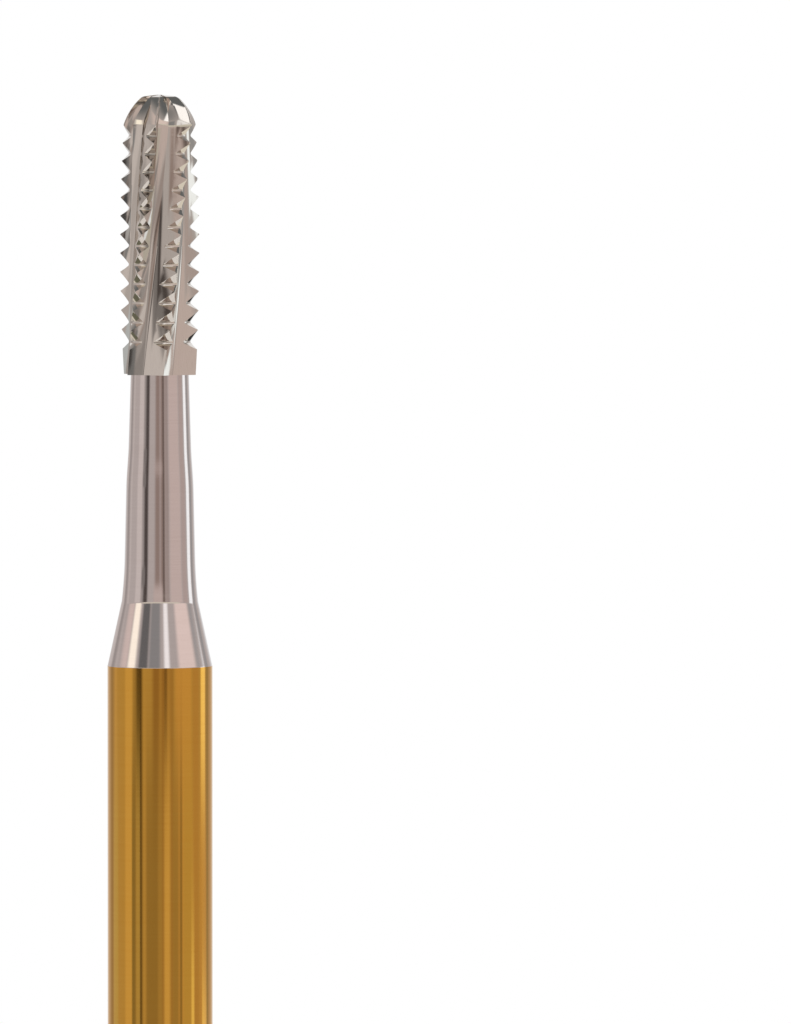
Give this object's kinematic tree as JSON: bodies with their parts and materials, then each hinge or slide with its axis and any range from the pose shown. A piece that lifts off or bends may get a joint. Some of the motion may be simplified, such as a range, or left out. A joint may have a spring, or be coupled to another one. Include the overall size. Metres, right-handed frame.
{
  "type": "dental bur",
  "caption": "Slim rotary dental cutter with a round-ended, crosscut fluted carbide head, tapered neck and straight gold-plated friction-grip shank.",
  "frame": {"origin": "centre of the shank's flat end face", "axes": "+Z along the bur's axis, from the shank's end to the tip of the cutting head; -Y faces the camera of the reference view"},
  "size_m": [0.0016, 0.0016, 0.021],
  "materials": {
    "carbide": "ground and polished tungsten carbide, a warm silvery grey with fine grinding lines",
    "steel": "turned and polished stainless steel with fine turning lines",
    "gold_plating": "polished gold-coloured plating over the gripped part of the shank"
  },
  "bodies": {
    "root": {"cutting_head": "carbide", "shank": "steel"}
  },
  "joints": []
}
